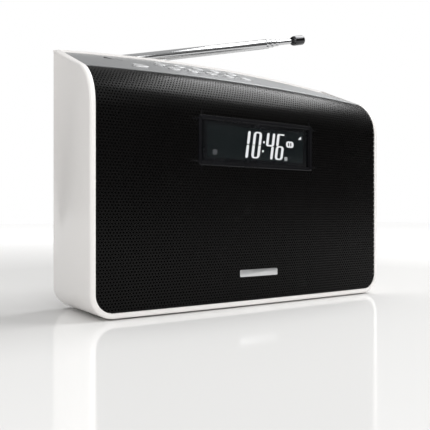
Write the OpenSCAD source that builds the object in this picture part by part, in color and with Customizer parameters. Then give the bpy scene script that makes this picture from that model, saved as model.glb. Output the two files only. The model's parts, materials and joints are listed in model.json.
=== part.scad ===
// Tabletop digital radio with a perforated front, a sloped key panel and a folding rod antenna.
// Millimetres. +Z is up, the front faces -Y, and the floor is at z = 0.

/* [Cabinet] */
// Width across the two sides
cabinet_w = 255; // [245:1:270]
// Depth at the sides, front edge to rear face
cabinet_d = 67; // [67:1:72]
// Height at which the front starts to curve back
shoulder_z = 132; // [130:1:140]
// Radius of the curve from the front into the sloped top
shoulder_r = 31; // [30:0.5:32]
// Slope of the top in degrees
top_slope = 21.4; // [20:0.1:22]
// Rise of the top in the middle, as a share of its height over the shoulder
top_crown = 0.12; // [0.08:0.01:0.14]
// How far the front stands forward in the middle
front_bow = 2; // [1:0.1:2]
// Thickness of the side and bottom walls
wall_t = 3.5; // [3:0.1:4]
// Thickness of the rear wall
rear_t = 3; // [2.6:0.1:3.4]
// Outer radius of the two bottom corners
corner_r = 15.5; // [14:0.5:18]
// Height of the feet below the bottom wall
foot_h = 1; // [0.6:0.1:2]

/* [Grille and display] */
// Distance from the front edge back to the seam behind the grille
seam_d = 16.5; // [14:0.5:17]
// Sheet thickness of the perforated grille
grille_t = 1; // [0.6:0.1:1.2]
// Width of the display window
window_w = 102.5; // [96:0.5:104]
// Height of the display window
window_h = 34; // [32:0.5:36]
// Height of the middle of the display window
window_z = 115.8; // [115:0.1:117]

/* [Keys] */
// Diameter of the small keys
key_dia = 9; // [8:0.5:10]
// Distance from one key to the next along a row
key_pitch = 16; // [14:0.5:17]
// How far a key stands out of the panel
key_proud = 1.4; // [1:0.1:1.8]
// Thickness of the key panel
panel_t = 2.2; // [2:0.1:2.4]

/* [Speakers] */
// Distance of each speaker from the middle
speaker_x = 74; // [73:0.5:76]
// Height of the speaker axes
speaker_z = 64; // [62:0.5:68]
// Outer diameter of the speaker frame
speaker_dia = 77; // [74:0.5:80]

/* [Antenna] */
// Angle at which the antenna rests above level, in degrees
mast_rise = 14; // [0:1:30]
// Outer diameter of the largest tube
mast_dia = 8; // [7:0.1:8]
// Length from the pivot to the end of the tip, pushed in
mast_len = 228; // [215:1:230]

/* [Hidden] */
$fn = 48;
fine = 0.01;

// Depth: the antenna hangs behind the rear wall, and the whole is centred on Y = 0.
tip_r = 4.25;
mast_gap = 0.5;
half_d = (front_bow + cabinet_d + mast_gap + 2 * tip_r) / 2;
front_y = front_bow - half_d;
back_y = front_y + cabinet_d;
rear_in_y = back_y - rear_t;
mast_y = half_d - tip_r;
half_w = cabinet_w / 2;
inner_w = cabinet_w - 2 * wall_t;
skin_x = inner_w / 2 - 0.1;
floor_z = foot_h + wall_t;
arc_end = 90 - top_slope;
arc_d = shoulder_r * (1 - cos(arc_end));
arc_z = shoulder_z + shoulder_r * sin(arc_end);
lip_d = cabinet_d - rear_t;

// Height of the top surface at the sides, a distance d behind the front edge.
function edge_z(d) = d < arc_d
    ? shoulder_z + sqrt(pow(shoulder_r, 2) - pow(shoulder_r - d, 2))
    : arc_z + (d - arc_d) * tan(top_slope);
// 1 in the middle, falling to 0 at the sides.
function bulge(x) = 1 - pow(x / half_w, 2);
function crowned(x, z) = z < shoulder_z ? z
    : shoulder_z + (z - shoulder_z) * (1 + top_crown * bulge(x));
function bowed(x, d) = front_y + d - front_bow * bulge(x) * (1 - d / cabinet_d);
function top_z(x, d) = crowned(x, edge_z(d));

// Extrusions of a drawing in the side plane (Y, Z) and in the front plane (X, Z).
module along_x(x0, x1) {
    translate([x0, 0, 0]) rotate([90, 0, 90]) linear_extrude(x1 - x0) children();
}
module along_y(y0, y1) {
    translate([0, y1, 0]) rotate([90, 0, 0]) linear_extrude(y1 - y0) children();
}
module box(x, y, z) {
    translate([x[0], y[0], z[0]]) cube([x[1] - x[0], y[1] - y[0], z[1] - z[0]]);
}
// A round bar whose axis runs along Y from y0 to y1.
module bar_y(x, z, r, y0, y1) {
    translate([x, y0, z]) rotate([-90, 0, 0]) cylinder(r = r, h = y1 - y0);
}
// A turned shape about an axis along Y: its drawing holds [radius, distance behind y].
module turned_y(x, y, z) {
    translate([x, y, z]) rotate([-90, 0, 0]) rotate_extrude() children();
}

// A closed skin through rings of points, all with the same count.
module loft(rings) {
    n = len(rings[0]);
    last = len(rings) - 1;
    points = [for (ring = rings) for (p = ring) p];
    sides = [for (i = [0:last - 1]) for (j = [0:n - 1]) let (k = (j + 1) % n)
        each [[i * n + j, i * n + k, (i + 1) * n + k], [i * n + j, (i + 1) * n + k, (i + 1) * n + j]]];
    start_cap = [for (j = [n - 1:-1:0]) j];
    end_cap = [for (j = [0:n - 1]) last * n + j];
    polyhedron(points, concat(sides, [start_cap, end_cap]), convexity = 6);
}

// A round wire along a list of points, with rings carried from one to the next without twist.
function unit(v) = v / norm(v);
function headings(p) = [for (i = [0:len(p) - 1])
    unit(p[min(i + 1, len(p) - 1)] - p[max(i - 1, 0)])];
function upright(t) = abs(t[2]) < 0.9 ? [0, 0, 1] : [1, 0, 0];
function carried(t) = [for (i = 0, n = unit(cross(t[0], upright(t[0]))); i < len(t);
    i = i + 1, n = i < len(t) ? unit(n - (n * t[i]) * t[i]) : n) n];
module wire(p, r, sides = 8) {
    t = headings(p);
    n = carried(t);
    loft([for (i = [0:len(p) - 1]) let (b = cross(t[i], n[i]))
        [for (k = [0:sides - 1]) let (a = -360 * k / sides)
            p[i] + r * (cos(a) * n[i] + sin(a) * b)]]);
}

// The drawing of the cabinet from the front: rounded below, square above.
module front_outline(w, z0, r, z1) {
    translate([-w / 2, z0 + r]) square([w, z1 - z0 - r]);
    translate([-w / 2 + r, z0]) square([w - 2 * r, r + fine]);
    for (side = [-1, 1]) translate([side * (w / 2 - r), z0 + r]) circle(r, $fn = 96);
}
// The same from the side, a distance inset inside it; the last part runs down the rear wall.
function side_arc(inset, a0, a1, step) = [for (a = [a0:step:a1])
    [front_y + shoulder_r - (shoulder_r - inset) * cos(a), shoulder_z + (shoulder_r - inset) * sin(a)]];
module side_outline() {
    polygon(concat([[front_y, 0]], side_arc(0, 0, arc_end, arc_end / 16),
        [[back_y, edge_z(cabinet_d)], [back_y, 0]]));
}
// The cabinet from above, with the bow of its front.
module plan_outline() {
    bow_r = (pow(half_w, 2) + pow(front_bow, 2)) / (2 * front_bow);
    intersection() {
        translate([-half_w, -half_d]) square([cabinet_w, back_y + half_d]);
        translate([0, front_y - front_bow + bow_r]) circle(bow_r, $fn = 1200);
    }
}

/* Cabinet screws, feet and posts */
corner_r_in = corner_r - wall_t;
post_x = 116;
post_zs = [20, 92, 148];
screw_r = 1.45;
foot_places = [for (x = [-100, 100]) for (y = [-24, 18]) [x, y]];
foot_r = 6;
foot_seat = 0.8;

/* Battery bay, for four round cells in two rows */
cell_r = 13;
cell_len = 48.5;
nub_len = 1.5;
bay_x = 55.5;
bay_wall = 1.5;
bay_floor = 8.5;
bay_top = bay_floor + 4 * cell_r + 1.6;
bay_y = rear_in_y - 2 * cell_r - 1;
cell_y = bay_y + cell_r + 0.2;
row_zs = [bay_floor + cell_r + 0.3, bay_top - cell_r - 0.3];
hatch_x = 54;
hatch_z = [9, 61];
door_gap = 0.3;
door_t = 2.3;
door_r = door_t / 2;
door_axis_y = back_y - 0.1 - door_r;
door_axis_z = hatch_z[0] + door_gap + door_r;
pintle_r = 0.8;

/* Sockets on the rear wall */
socket_z = 32;
phones_x = 106;
power_x = 88;
phones_r = 1.8;
power_r = 3;
socket_face_y = back_y - 0.5;
jack_board_y = 12;

/* Main board */
board_y = 6;
board_t = 1.6;
board_x = 70;
board_zs = [78, 150];
stand_x = 64;
stand_zs = [84, 144];

/* Antenna */
pivot = [-113, mast_y, 171.4];
swivel_r = 2.5;
bush_r = 3.6;
tube_r = mast_dia / 2;
tube_step = 0.6;
tube_wall = 0.55;
tongue_end = 9;
tube_end = mast_len - 41.7;
tip_len = 12.8;

module cabinet() color("white") difference() {
    union() {
        // The bottom and its two corners
        intersection() {
            along_y(-half_d, back_y) difference() {
                front_outline(cabinet_w, foot_h, corner_r, shoulder_z);
                front_outline(inner_w, floor_z, corner_r_in, shoulder_z + 1);
                translate([-cabinet_w, foot_h + corner_r]) square([2 * cabinet_w, shoulder_z]);
            }
            linear_extrude(2 * corner_r) plan_outline();
        }
        // The two sides
        for (side = [-1, 1]) intersection() {
            along_x(side * (half_w - wall_t / 2) - wall_t / 2, side * (half_w - wall_t / 2) + wall_t / 2)
                side_outline();
            translate([-cabinet_w, -half_d, foot_h + corner_r]) cube([2 * cabinet_w, 2 * half_d, 2 * shoulder_z]);
        }
        // The rear wall, with its crowned upper edge
        along_y(rear_in_y, back_y) intersection() {
            front_outline(inner_w + wall_t, foot_h + wall_t / 2, corner_r - wall_t / 2, 2 * shoulder_z);
            rear_crown();
        }
        // Stand-offs for the main board
        for (x = [-stand_x, stand_x]) for (z = stand_zs) bar_y(x, z, 3.5, board_y + board_t, rear_in_y);
    }
    for (x = [-post_x, post_x]) for (z = post_zs) {
        bar_y(x, z, screw_r + 0.15, rear_in_y - 1, back_y + 1);
        bar_y(x, z, 3.1, back_y - 1.6, back_y + 1);
    }
    for (x = [-stand_x, stand_x]) for (z = stand_zs) bar_y(x, z, 1.1, board_y, rear_in_y - 4);
    for (p = foot_places) translate([p[0], p[1], 0]) cylinder(r = foot_r + 0.1, h = foot_h + foot_seat);
    bar_y(phones_x, socket_z, 4, rear_in_y - 1, back_y + 1);
    bar_y(power_x, socket_z, 5, rear_in_y - 1, back_y + 1);
    bar_y(pivot[0], pivot[2], bush_r, rear_in_y - 1, back_y + 1);
    box([-hatch_x, hatch_x], [rear_in_y - 1, back_y + 1], hatch_z);
    translate([-hatch_x - 2, door_axis_y, door_axis_z]) rotate([0, 90, 0])
        cylinder(r = pintle_r + 0.05, h = 2 * hatch_x + 4);
}
module rear_crown() {
    rise = top_crown * (edge_z(cabinet_d) - shoulder_z);
    crown_r = (pow(half_w, 2) + pow(rise, 2)) / (2 * rise);
    translate([0, edge_z(cabinet_d) + rise - crown_r]) circle(crown_r, $fn = 1200);
}

// The baffle follows the front and its curve a little way behind the grille.
baffle_in = 4.2;
baffle_t = 2.2;
baffle_y = front_y + baffle_in + baffle_t;
baffle_end = 60;
module front_baffle() color("#202022") difference() {
    union() {
        intersection() {
            along_x(-skin_x, skin_x) polygon(concat([[front_y + baffle_in, 0]],
                side_arc(baffle_in, 0, baffle_end, 5), [for (a = [baffle_end:-5:0])
                    side_arc(baffle_in + baffle_t, a, a, 1)[0]], [[baffle_y, 0]]));
            along_y(-half_d, back_y) front_outline(2 * skin_x, floor_z + 0.1, corner_r_in, 2 * shoulder_z);
        }
        // Screw posts, trimmed to the curve
        intersection() {
            for (x = [-post_x, post_x]) for (z = post_zs) bar_y(x, z, 4, front_y, rear_in_y - 0.1);
            along_x(-skin_x, skin_x) polygon(concat([[front_y + baffle_in, 0]],
                side_arc(baffle_in, 0, baffle_end, 5), [[back_y, shoulder_z + shoulder_r], [back_y, 0]]));
        }
    }
    for (x = [-speaker_x, speaker_x]) bar_y(x, speaker_z, lip_r + 0.3, -half_d, baffle_y + 1);
    box([-45, 45], [-half_d, baffle_y + 1], [window_z - 12, window_z + 12]);
    for (x = [-post_x, post_x]) for (z = post_zs) bar_y(x, z, screw_r + 0.05, 8, back_y);
    for (x = [-speaker_x, speaker_x]) for (p = ear_holes)
        bar_y(x + p[0], speaker_z + p[1], 1.05, -half_d, baffle_y + 1);
}

// Across the front, stations are closest where the bottom corners curve.
stations = concat([for (a = [90:-15:15]) -(half_w - corner_r) - (skin_x - half_w + corner_r) * sin(a)],
    [for (i = [-10:10]) i * (half_w - corner_r) / 10],
    [for (a = [15:15:90]) (half_w - corner_r) + (skin_x - half_w + corner_r) * sin(a)]);
function skin_floor(x) = let (over = max(abs(x) - (half_w - corner_r), 0), r = skin_x - half_w + corner_r)
    floor_z + corner_r_in - sqrt(max(r * r - over * over, 0));
seam_a = acos(1 - seam_d / shoulder_r);
function front_line(x, inset, trim) = concat([[x, bowed(x, inset), skin_floor(x) + trim]],
    [for (i = [0:7]) let (p = side_arc(inset, seam_a * i / 7, seam_a * i / 7, 1)[0])
        [x, bowed(x, p[0] - front_y), crowned(x, p[1])]]);
module front_skin(inset, t) {
    loft([for (x = stations) let (outer = front_line(x, inset, 0.1), inner = front_line(x, inset + t, 0.1))
        concat(outer, [for (i = [len(inner) - 1:-1:0]) inner[i]])]);
}
module window_cut(grow) {
    box([-window_w / 2 - grow, window_w / 2 + grow], [-2 * half_d, 0],
        [window_z - window_h / 2 - grow, window_z + window_h / 2 + grow]);
}
grille_in = 0.4;
module grille() color("#2a2826") difference() {
    front_skin(grille_in, grille_t);
    window_cut(0.2);
}
module grille_cloth() color("black") difference() {
    front_skin(grille_in + grille_t + 0.1, 0.5);
    window_cut(0.6);
}

// The key panel: a strip of the curve, then the slope up to the rear lip.
panel_d = seam_d + 0.6;
panel_a = acos(1 - panel_d / shoulder_r);
function slope_point(inset, d) = [front_y + d + inset * sin(top_slope), edge_z(d) - inset * cos(top_slope)];
function panel_line(x, inset) = [for (p = concat(side_arc(inset, panel_a, arc_end, (arc_end - panel_a) / 2),
    [slope_point(inset, lip_d - 0.1 - inset * sin(top_slope))]))
    [x, bowed(x, p[0] - front_y), crowned(x, p[1])]];
notch_place = [-90, 50];
board_posts = [for (x = [-89, 21]) for (d = [27, 50]) [x, d]];
module top_panel() color("#a9adb0") difference() {
    union() {
        loft([for (i = [-16:16]) let (x = skin_x * i / 16, outer = panel_line(x, 0), inner = panel_line(x, panel_t))
            concat(outer, [for (k = [len(inner) - 1:-1:0]) inner[k]])]);
        // Posts that carry the key board
        for (p = board_posts) on_top(p[0], p[1]) translate([0, 0, -board_drop - over_board(p[0], p[1])])
            cylinder(r = 2, h = board_drop + over_board(p[0], p[1]) - panel_t / 2);
    }
    for (key = small_keys) on_top(key[0], key[1]) translate([0, 0, -6]) cylinder(r = key_dia / 2 + key_gap, h = 12);
    on_top(power_key[0], power_key[1]) translate([0, 0, -6]) power_bore(power_half + key_gap, 12);
    on_top(notch_place[0], notch_place[1]) rotate([0, 0, -34]) translate([-7, -0.6, -0.8]) cube([14, 1.2, 4]);
}

/* Keys */
key_gap = 0.2;
key_tilt = atan(tan(top_slope) * (1 + top_crown * bulge(-20)));
front_row = [for (i = [0:4]) [-50 + key_pitch * i, 33]];
back_row = [for (i = [0:4]) [-55 + key_pitch * i, 45]];
small_keys = concat(front_row, back_row);
power_key = [-79, 29];
power_half = 6;
power_wide = 4;
key_travel = 0.8;
collar_t = 0.8;
collar_gap = 0.5;
collar_z = -panel_t - collar_gap;
// A frame on the panel with its own Z square to the slope.
module on_top(x, d) {
    translate([x, front_y + d, top_z(x, d)]) rotate([key_tilt, 0, 0]) children();
}
// How far a point of the panel stands over the plane of the key board's middle.
mid_key = [-30, 38];
function over_board(x, d) = (top_z(x, d) - top_z(mid_key[0], mid_key[1])) * cos(key_tilt)
    - (d - mid_key[1]) * sin(key_tilt);
board_drop = 10.5;
switch_h = 2.5;
function stem_end(key) = -(board_drop - switch_h - key_travel - 0.1) - over_board(key[0], key[1]);
module key_body(key, r) {
    on_top(key[0], key[1]) {
        translate([0, 0, collar_z]) cylinder(r = r, h = key_proud - collar_z);
        translate([0, 0, collar_z - collar_t]) cylinder(r = r + 0.9, h = collar_t);
        translate([0, 0, stem_end(key)]) cylinder(r = 1.5, h = collar_z - stem_end(key));
    }
}
module small_key(key) {
    color("#c9cccd") key_body(key, key_dia / 2);
}
module power_bore(r, h) {
    cylinder(r = power_wide + r - power_half, h = h);
    for (side = [-1, 1]) translate([side * (power_half - power_wide), 0, 0])
        cylinder(r = power_wide + r - power_half, h = h);
    translate([-(power_half - power_wide), -(power_wide + r - power_half), 0])
        cube([2 * (power_half - power_wide), 2 * (power_wide + r - power_half), h]);
}
module power_button() color("#dfe2e3") on_top(power_key[0], power_key[1]) {
    translate([0, 0, collar_z]) power_bore(power_half, key_proud - collar_z);
    translate([0, 0, collar_z - collar_t]) power_bore(power_half + 0.9, collar_t);
    translate([0, 0, stem_end(power_key)]) cylinder(r = 1.5, h = collar_z - stem_end(power_key));
}
module preset_button_1() small_key(front_row[0]);
module preset_button_2() small_key(front_row[1]);
module preset_button_3() small_key(front_row[2]);
module preset_button_4() small_key(front_row[3]);
module preset_button_5() small_key(front_row[4]);
module menu_button_1() small_key(back_row[0]);
module menu_button_2() small_key(back_row[1]);
module menu_button_3() small_key(back_row[2]);
module menu_button_4() small_key(back_row[3]);
module menu_button_5() small_key(back_row[4]);
module button_board() color("#1f5a38") on_top(mid_key[0], mid_key[1])
    translate([-62, -15, -board_drop - board_t]) cube([116, 30, board_t]);
module tact_switches() color("#3a3a3c") for (key = concat([power_key], small_keys))
    on_top(mid_key[0], mid_key[1]) translate([key[0] - mid_key[0], along_slope(key), -board_drop]) {
        translate([-3, -3, 0]) cube([6, 6, 1.7]);
        cylinder(r = 1.6, h = switch_h);
    }
function along_slope(key) = (key[1] - mid_key[1]) * cos(key_tilt)
    + (top_z(key[0], key[1]) - top_z(mid_key[0], mid_key[1])) * sin(key_tilt);

/* Display */
bezel_y = -half_d;
bezel_d = baffle_in + front_bow;
lens_y = bezel_y + 0.8;
module badge_plate() color("#b8bcc0") box([-17, 17], [bezel_y, bezel_y + grille_in], [21.5, 26.5]);
module display_bezel() color("#0a0a0b") difference() {
    box([-window_w / 2, window_w / 2], [bezel_y, bezel_y + bezel_d],
        [window_z - window_h / 2, window_z + window_h / 2]);
    box([-46, 46], [bezel_y - 1, bezel_y + bezel_d + 1], [window_z - 13, window_z + 13]);
    box([-47, 47], [lens_y, bezel_y + bezel_d + 1], [window_z - 14, window_z + 14]);
}
module display_lens() color("#20262a", 0.5)
    box([-46.9, 46.9], [lens_y, lens_y + 1.2], [window_z - 13.9, window_z + 13.9]);
module lcd_glass() color("#10181b")
    box([-46, 46], [lens_y + 1.3, lens_y + 3], [window_z - 13, window_z + 13]);
module backlight() color("#e8ecef")
    box([-44.8, 44.8], [lens_y + 3.1, lens_y + 6.5], [window_z - 11.8, window_z + 11.8]);
module display_board() color("#1f5a38")
    box([-46, 46], [baffle_y + 0.2, baffle_y + 0.2 + board_t], [window_z - 13.5, window_z + 13.5]);
ribbon_span = board_y - baffle_y - 0.2 - board_t;
function ribbon_z(u) = 106 - 5 * u - 9 * sin(180 * u);
module display_ribbon() color("#d8dadc") along_x(-11, 11) polygon(concat(
    [for (i = [0:16]) [board_y - ribbon_span * (1 - i / 16), ribbon_z(i / 16) + 0.2]],
    [for (i = [16:-1:0]) [board_y - ribbon_span * (1 - i / 16), ribbon_z(i / 16) - 0.2]]));

/* Speakers: a square-eared frame, a turned basket, and a cone in a half-round surround */
flange_half = speaker_dia / 2 - 1.5;
flange_t = 1.6;
ear_r = 6;
ear_holes = [for (x = [-1, 1]) for (z = [-1, 1]) (flange_half - ear_r) * [x, z]];
roll_r = speaker_dia / 2 - 4.5;
lip_r = roll_r + 1.6;
cone_r = roll_r - 4.2;
cone_depth = 14;
magnet_r = 15;
basket_d = 19;
module basket(x) color("#3b3d40") difference() {
    union() {
        translate([x, 0, speaker_z]) along_y(baffle_y, baffle_y + flange_t) difference() {
            union() {
                square([2 * flange_half, 2 * (flange_half - ear_r)], center = true);
                square([2 * (flange_half - ear_r), 2 * flange_half], center = true);
                for (p = ear_holes) translate(p) circle(ear_r);
            }
            circle(roll_r);
        }
        turned_y(x, baffle_y, speaker_z) polygon([[roll_r - 0.4, flange_t - fine], [roll_r + 1, flange_t - fine],
            [magnet_r + 3, basket_d], [9, basket_d], [9, basket_d - 1.4], [magnet_r + 2, basket_d - 1.4]]);
    }
    for (p = ear_holes) bar_y(x + p[0], speaker_z + p[1], 1.3, baffle_y - 1, baffle_y + 3);
    for (a = [0, 90]) translate([x, baffle_y + 10, speaker_z]) rotate([0, a, 0])
        translate([-50, -4, -9]) cube([100, 8, 18]);
}
module magnet(x) color("#54565a") {
    turned_y(x, baffle_y + basket_d, speaker_z) polygon([[8.2, 0], [magnet_r, 0], [magnet_r, 9],
        [0, 9], [0, 7], [8.2, 7]]);
    turned_y(x, baffle_y + basket_d, speaker_z) polygon([[0, 1], [7, 1], [7, 7], [0, 7]]);
}
module surround(x) color("#161616") turned_y(x, baffle_y, speaker_z) difference() {
    union() {
        translate([cone_r + 2.2, 0]) circle(2, $fn = 32);
        translate([cone_r + 3.8, -0.6]) square([lip_r - cone_r - 3.8, 0.6]);
    }
    translate([cone_r + 2.2, 0]) circle(1.5, $fn = 32);
    translate([cone_r - 1, 0]) square([6, 3]);
}
// The cone, its dust cap and the voice coil tube that runs in the magnet's gap
module cone(x) color("#2b2a29") turned_y(x, baffle_y, speaker_z) polygon(concat(
    [[cone_r, 0], [cone_r, 0.6], [8.05, cone_depth], [8.05, basket_d + 4], [7.15, basket_d + 4], [7.15, cone_depth - 1]],
    [for (i = [0:6]) [7.15 * cos(15 * i), cone_depth - 1 - 3 * sin(15 * i)]],
    [for (i = [6:-1:0]) [7.6 * cos(15 * i), cone_depth - 1.7 - 3 * sin(15 * i)]], [[cone_r - 1.2, 0]]));
module left_basket() basket(-speaker_x);
module left_magnet() magnet(-speaker_x);
module left_surround() surround(-speaker_x);
module left_cone() cone(-speaker_x);
module right_basket() basket(speaker_x);
module right_magnet() magnet(speaker_x);
module right_surround() surround(speaker_x);
module right_cone() cone(speaker_x);
module speaker_screws() color("silver") for (x = [-speaker_x, speaker_x]) for (p = ear_holes) {
    bar_y(x + p[0], speaker_z + p[1], 1, baffle_y - baffle_t, baffle_y + flange_t);
    bar_y(x + p[0], speaker_z + p[1], 1.9, baffle_y + flange_t, baffle_y + flange_t + 1.2);
}

/* Electronics */
module main_board() color("#1f5a38") difference() {
    box([-board_x, board_x], [board_y, board_y + board_t], board_zs);
    for (x = [-stand_x, stand_x]) for (z = stand_zs) bar_y(x, z, 1.6, board_y - 1, board_y + 3);
}
module board_screws() color("silver") for (x = [-stand_x, stand_x]) for (z = stand_zs) {
    bar_y(x, z, 1.05, board_y, board_y + 9);
    bar_y(x, z, 2.6, board_y - 1.6, board_y);
}
board_rear = board_y + board_t;
module tuner_can() color("#c4c6c8") box([-50, -14], [board_rear, board_rear + 6], [112, 136]);
module heatsink() color("#8d9094") {
    box([24, 54], [board_rear, board_rear + 2], [112, 136]);
    for (i = [0:5]) box([24 + 5.7 * i, 25.5 + 5.7 * i], [board_rear + 2, board_rear + 13], [112, 136]);
}
module capacitors() color("#26324a") for (p = [[-44, 92], [-30, 92], [-16, 92], [12, 94], [28, 94]])
    bar_y(p[0], p[1], 4.5, board_rear, board_rear + 13);
module chips() color("#17181a") {
    box([-36, -20], [board_y - 1.6, board_y], [116, 132]);
    box([18, 32], [board_y - 1.6, board_y], [118, 130]);
    box([40, 52], [board_y - 1.6, board_y], [96, 104]);
}
module headphone_jack() color("#18181a") difference() {
    union() {
        box([phones_x - 6, phones_x + 6], [jack_board_y, rear_in_y], [socket_z - 5, socket_z + 5]);
        bar_y(phones_x, socket_z, 3.9, rear_in_y - 1, socket_face_y);
    }
    bar_y(phones_x, socket_z, phones_r, socket_face_y - 15.5, back_y);
}
module dc_jack() color("#18181a") {
    difference() {
        union() {
            box([power_x - 6, power_x + 6], [jack_board_y, rear_in_y], [socket_z - 6, socket_z + 6]);
            bar_y(power_x, socket_z, 4.9, rear_in_y - 1, socket_face_y);
        }
        bar_y(power_x, socket_z, power_r, socket_face_y - 9.5, back_y);
    }
    bar_y(power_x, socket_z, 1.05, socket_face_y - 9.6, socket_face_y - 1.5);
}
module jack_board() color("#1f5a38")
    box([power_x - 9, phones_x + 8], [jack_board_y - board_t, jack_board_y], [socket_z - 7, socket_z + 10]);

/* Batteries */
module battery_box() color("#232325") difference() {
    box([-bay_x - bay_wall, bay_x + bay_wall], [bay_y - bay_wall, rear_in_y],
        [bay_floor - bay_wall, bay_top + bay_wall]);
    box([-bay_x, bay_x], [bay_y, back_y], [bay_floor, bay_top]);
}
module cell(x, z, way) translate([x, cell_y, z]) rotate([0, 90 * way, 0]) {
    translate([0, 0, -cell_len / 2]) cylinder(r = cell_r, h = cell_len);
    translate([0, 0, cell_len / 2]) cylinder(r = 3.2, h = nub_len);
}
module battery_cells() color("#3d6f8f") for (row = [0, 1]) for (side = [-1, 1])
    cell(side * (cell_len + nub_len + 0.1) / 2 + (row == 0 ? 0.5 : -0.5), row_zs[row], row == 0 ? 1 : -1);
// Conical coil springs press on the flat end of each row.
coil_turns = 3;
module battery_springs() color("#c9c9c4") for (row = [0, 1]) let (way = row == 0 ? -1 : 1)
    wire([for (i = [0:12 * coil_turns]) let (u = i / (12 * coil_turns), r = 6.2 - 3 * u)
        [way * (bay_x - 0.6 - 3.6 * u), cell_y + r * cos(30 * i), row_zs[row] + r * sin(30 * i)]], 0.4);
module battery_plates() color("#c9c9c4") for (row = [0, 1]) for (side = [-1, 1])
    box([min(side * bay_x, side * (bay_x - 0.2)), max(side * bay_x, side * (bay_x - 0.2))],
        [cell_y - 7, cell_y + 7], [row_zs[row] - 7, row_zs[row] + 7]);
module battery_door() color("#f2f2f0") {
    difference() {
        along_x(-hatch_x + door_gap, hatch_x - door_gap) union() {
            translate([door_axis_y, door_axis_z]) circle(door_r);
            translate([door_axis_y - door_r, door_axis_z])
                square([door_t, hatch_z[1] - door_gap - door_axis_z]);
        }
        // Finger notch over the latch
        box([-9, 9], [back_y - 1.1, back_y + 1], [hatch_z[1] - 6, hatch_z[1] - 3]);
    }
    translate([-hatch_x - 1.7, door_axis_y, door_axis_z]) rotate([0, 90, 0])
        cylinder(r = pintle_r, h = 2 * hatch_x + 3.4);
}
module case_screws() color("#9a9da0") for (x = [-post_x, post_x]) for (z = post_zs) difference() {
    union() {
        bar_y(x, z, screw_r, 12, back_y - 1.5);
        bar_y(x, z, 2.9, back_y - 1.6, back_y - 0.1);
    }
    box([x - 1.8, x + 1.8], [back_y - 0.8, back_y], [z - 0.35, z + 0.35]);
    box([x - 0.35, x + 0.35], [back_y - 0.8, back_y], [z - 1.8, z + 1.8]);
}
module rubber_feet() color("#1b1b1c") for (p = foot_places)
    translate([p[0], p[1], 0]) cylinder(r = foot_r, h = foot_h + foot_seat);

/* Leads, each along its own route */
speaker_route = [[54, -12, 64], [49, -9, 70], [45, -5, 78], [43, -1, 84], [43, 2.5, 87], [44, 4.8, 89]];
power_route = [[30, 12, 63.7], [30, 12, 68], [32, 11, 73], [34, 9.6, 78], [34, 8.7, 84]];
jack_route = [[92, 9.2, 40], [90, 6, 52], [84, 4, 66], [76, 4, 78], [66, 4.5, 92], [60, 4.8, 98]];
antenna_route = [[-108, 24, 166], [-100, 20, 162], [-88, 14, 156], [-74, 10, 148], [-66, 8.5, 138]];
function mirrored(route) = [for (i = [len(route) - 1:-1:0]) [-route[i][0], route[i][1], route[i][2]]];
module wiring() color("#8c2f2a") {
    wire(speaker_route, 0.9);
    wire(mirrored(speaker_route), 0.9);
    wire(power_route, 0.9);
    wire(jack_route, 0.9);
    wire(antenna_route, 0.7);
}

/* Antenna */
// A frame at the pivot: X along the mast, Z along the hinge pin.
module on_mast() {
    translate(pivot) rotate([0, -mast_rise, 0]) children();
}
module tube(r, r_in, s0, s1) {
    on_mast() rotate([0, 90, 0]) translate([0, 0, s0]) difference() {
        cylinder(r = r, h = s1 - s0);
        if (r_in > 0) translate([0, 0, 2]) cylinder(r = r_in, h = s1 - s0);
    }
}
module antenna_bushing() color("#77797c") difference() {
    union() {
        bar_y(pivot[0], pivot[2], bush_r - 0.05, rear_in_y - 1, back_y + 0.05);
        bar_y(pivot[0], pivot[2], 5.5, back_y + 0.05, back_y + 0.55);
    }
    bar_y(pivot[0], pivot[2], swivel_r + 0.05, 0, mast_y);
}
module antenna_clip() color("#5c5e61") difference() {
    bar_y(pivot[0], pivot[2], 3.8, rear_in_y - 2.1, rear_in_y - 1.1);
    bar_y(pivot[0], pivot[2], swivel_r, 0, mast_y);
}
fork_y = back_y + 0.9;
module antenna_turret() color("#d3d5d7") {
    bar_y(pivot[0], pivot[2], swivel_r, rear_in_y - 3, fork_y + 0.4);
    difference() {
        on_mast() translate([-4.5, fork_y - mast_y, -4.4]) cube([9, 7.4, 8.8]);
        on_mast() translate([-6, -2.7, -1.7]) cube([12, 8, 3.4]);
        on_mast() translate([0, 0, -6]) cylinder(r = 1, h = 12);
    }
}
module antenna_hinge_pin() color("#b4b6b8") on_mast() translate([0, 0, -4.4]) cylinder(r = 1, h = 8.8);
module antenna_tube_1() color("#e4e5e6") {
    tube(tube_r, tube_r - tube_wall, tongue_end, tube_end);
    on_mast() difference() {
        union() {
            translate([0, 0, -1.6]) cylinder(r = 2.4, h = 3.2);
            translate([0, -2.4, -1.6]) cube([tongue_end + 1, 4.8, 3.2]);
        }
        translate([0, 0, -3]) cylinder(r = 1.05, h = 6);
    }
}
module antenna_tube_2() color("#e4e5e6")
    tube(tube_r - tube_step, tube_r - tube_step - tube_wall, tongue_end + 5, tube_end + 6);
module antenna_tube_3() color("#e4e5e6")
    tube(tube_r - 2 * tube_step, tube_r - 2 * tube_step - tube_wall, tongue_end + 9, tube_end + 12);
module antenna_rod() color("#e4e5e6") tube(tube_r - 3 * tube_step, 0, tongue_end + 13, mast_len - tip_len);
module antenna_tip() color("#d3d5d7") tube(tip_r, 0, mast_len - tip_len, mast_len);

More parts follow.
